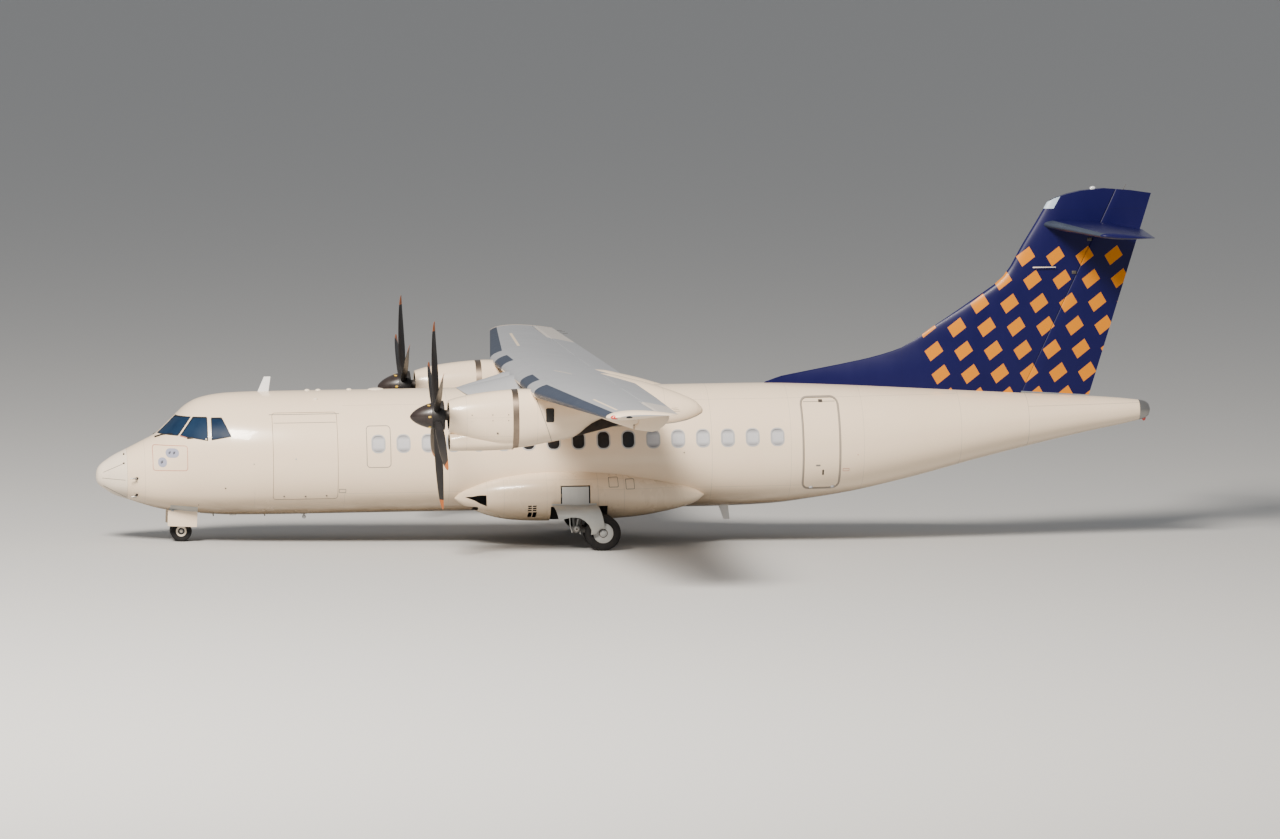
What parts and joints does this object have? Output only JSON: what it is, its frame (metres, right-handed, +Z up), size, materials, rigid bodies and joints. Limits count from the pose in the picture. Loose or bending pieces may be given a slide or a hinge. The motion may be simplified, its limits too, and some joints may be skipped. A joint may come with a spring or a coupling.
{
  "type": "turboprop airliner",
  "caption": "Twin-engined high-winged turboprop airliner with a T-tail, standing on its landing gear, with turning propellers and wheels, hinged control surfaces and opening doors.",
  "frame": {"origin": "middle of the length and width, on the ground under the tyres", "axes": "+X aft toward the tail, +Y to starboard, +Z up; the nose points along -X"},
  "size_m": [22.678, 24.57, 7.5838],
  "materials": {
    "white_paint": "warm white gloss paint",
    "radome": "painted composite nose",
    "bare_steel": "heat-dulled bare metal",
    "glazing": "dark cockpit glass",
    "indigo_paint": "deep indigo gloss paint",
    "grey_paint": "light grey satin paint",
    "engine_metal": "dull engine casing",
    "black_composite": "black composite blades and spinner",
    "gear_paint": "light grey landing gear paint",
    "tyre": "black tyre rubber"
  },
  "bodies": {
    "airframe": {"fuselage": "white_paint", "radome": "radome", "tail_cap": "bare_steel", "cockpit_glazing_left": "glazing", "cockpit_glazing_right": "glazing", "dorsal_fin": "indigo_paint", "fin": "indigo_paint", "fin_tip": "indigo_paint", "tailplane": "indigo_paint", "wing_centre": "grey_paint", "wing_outer_left": "grey_paint", "wing_outer_right": "grey_paint", "wing_fairing_left": "white_paint", "wing_fairing_right": "white_paint", "nacelle_left": "white_paint", "nacelle_right": "white_paint", "engine_left": "engine_metal", "engine_right": "engine_metal", "exhaust_left": "bare_steel", "exhaust_right": "bare_steel", "gear_fairing_left": "white_paint", "gear_fairing_right": "white_paint", "main_gear_leg_left": "gear_paint", "main_gear_leg_right": "gear_paint", "main_gear_door_left": "gear_paint", "main_gear_door_right": "gear_paint", "nose_gear_leg": "gear_paint", "nose_gear_door_left": "white_paint", "nose_gear_door_right": "white_paint"},
    "rotor_left": {"propeller_left": "black_composite", "spinner_left": "black_composite"},
    "rotor_right": {"propeller_right": "black_composite", "spinner_right": "black_composite"},
    "nose_fork": {"nose_gear_fork": "gear_paint"},
    "nose_wheel_pair": {"nose_wheels": "gear_paint", "nose_tyre_left": "tyre", "nose_tyre_right": "tyre"},
    "main_wheel_pair_left": {"main_wheels_left": "gear_paint", "main_tyre_left_inner": "tyre", "main_tyre_left_outer": "tyre"},
    "main_wheel_pair_right": {"main_wheels_right": "gear_paint", "main_tyre_right_inner": "tyre", "main_tyre_right_outer": "tyre"},
    "rudder": {"rudder": "indigo_paint"},
    "elevator_left": {"elevator_left": "indigo_paint"},
    "aileron_left": {"aileron_left": "grey_paint"},
    "flap_inner_left": {"flap_inner_left": "grey_paint"},
    "flap_outer_left": {"flap_outer_left": "grey_paint"},
    "elevator_right": {"elevator_right": "indigo_paint"},
    "aileron_right": {"aileron_right": "grey_paint"},
    "flap_inner_right": {"flap_inner_right": "grey_paint"},
    "flap_outer_right": {"flap_outer_right": "grey_paint"},
    "passenger_door": {"passenger_door": "white_paint"},
    "cargo_door": {"cargo_door": "white_paint"},
    "service_door": {"service_door": "white_paint"}
  },
  "joints": [
    {"name": "propeller_left_spin", "type": "hinge", "parent": "airframe", "child": "rotor_left", "pos_m": [-4.46705, -4.05, 3.00357], "axis": [-0.9986, 0, -0.0529], "continuous": true},
    {"name": "propeller_right_spin", "type": "hinge", "parent": "airframe", "child": "rotor_right", "pos_m": [-4.46705, 4.05, 3.00357], "axis": [-0.9986, 0, -0.0529], "continuous": true},
    {"name": "nose_steering", "type": "hinge", "parent": "airframe", "child": "nose_fork", "pos_m": [-9.53051, 0, 0.36912], "axis": [0, 0, 1], "range_deg": [-60, 60]},
    {"name": "nose_wheels_spin", "type": "hinge", "parent": "nose_fork", "child": "nose_wheel_pair", "pos_m": [-9.53016, 0, 0.22223], "axis": [0, 1, 0], "continuous": true},
    {"name": "main_wheels_left_spin", "type": "hinge", "parent": "airframe", "child": "main_wheel_pair_left", "pos_m": [-0.74116, -2.05, 0.37179], "axis": [0, 1, 0], "continuous": true},
    {"name": "main_wheels_right_spin", "type": "hinge", "parent": "airframe", "child": "main_wheel_pair_right", "pos_m": [-0.74116, 2.05, 0.37179], "axis": [0, 1, 0], "continuous": true},
    {"name": "rudder_hinge", "type": "hinge", "parent": "airframe", "child": "rudder", "pos_m": [8.49759, 0, 3.08463], "axis": [0.4146, 0, 0.91], "range_deg": [-27, 27]},
    {"name": "elevator_left_hinge", "type": "hinge", "parent": "airframe", "child": "elevator_left", "pos_m": [10.32321, -3.56, 6.73804], "axis": [-0.0001, 1, 0.0071], "range_deg": [-23, 13]},
    {"name": "aileron_left_hinge", "type": "hinge", "parent": "airframe", "child": "aileron_left", "pos_m": [-0.75019, -11.9, 3.68464], "axis": [0.0129, 0.9996, -0.0252], "range_deg": [-14, 14]},
    {"name": "flap_inner_left_hinge", "type": "hinge", "parent": "airframe", "child": "flap_inner_left", "pos_m": [-0.6658, -3.54, 2.9903], "axis": [0, 1, 0], "range_deg": [0, 35]},
    {"name": "flap_outer_left_hinge", "type": "hinge", "parent": "airframe", "child": "flap_outer_left", "pos_m": [-0.72269, -8.92, 3.11235], "axis": [0.013, 0.9995, -0.0279], "range_deg": [0, 35]},
    {"name": "elevator_right_hinge", "type": "hinge", "parent": "airframe", "child": "elevator_right", "pos_m": [10.32278, 0.19, 6.76204], "axis": [0.0001, 1, -0.0071], "range_deg": [-23, 13]},
    {"name": "aileron_right_hinge", "type": "hinge", "parent": "airframe", "child": "aileron_right", "pos_m": [-0.71202, 8.95, 3.6104], "axis": [-0.0129, 0.9996, 0.0252], "range_deg": [-14, 14]},
    {"name": "flap_inner_right_hinge", "type": "hinge", "parent": "airframe", "child": "flap_inner_right", "pos_m": [-0.6658, 1.52, 2.9903], "axis": [0, 1, 0], "range_deg": [0, 35]},
    {"name": "flap_outer_right_hinge", "type": "hinge", "parent": "airframe", "child": "flap_outer_right", "pos_m": [-0.66606, 4.56, 2.99085], "axis": [-0.013, 0.9995, 0.0279], "range_deg": [0, 35]},
    {"name": "passenger_door_hinge", "type": "hinge", "parent": "airframe", "child": "passenger_door", "pos_m": [3.67033, -1.092, 1.21956], "axis": [0.9998, 0, 0.018], "range_deg": [0, 115]},
    {"name": "cargo_door_hinge", "type": "hinge", "parent": "airframe", "child": "cargo_door", "pos_m": [-6.31422, -1, 2.82934], "axis": [-0.9998, 0, -0.018], "range_deg": [0, 110]},
    {"name": "service_door_hinge", "type": "hinge", "parent": "airframe", "child": "service_door", "pos_m": [3.70381, 1.414, 1.36018], "axis": [-0.018, 0, 0.9998], "range_deg": [0, 100]}
  ],
  "couplings": [
    {"joint": "elevator_right_hinge", "follows": "elevator_left_hinge", "ratio": 1},
    {"joint": "aileron_right_hinge", "follows": "aileron_left_hinge", "ratio": -1},
    {"joint": "flap_inner_right_hinge", "follows": "flap_inner_left_hinge", "ratio": 1},
    {"joint": "flap_outer_left_hinge", "follows": "flap_inner_left_hinge", "ratio": 1},
    {"joint": "flap_outer_right_hinge", "follows": "flap_inner_left_hinge", "ratio": 1}
  ]
}
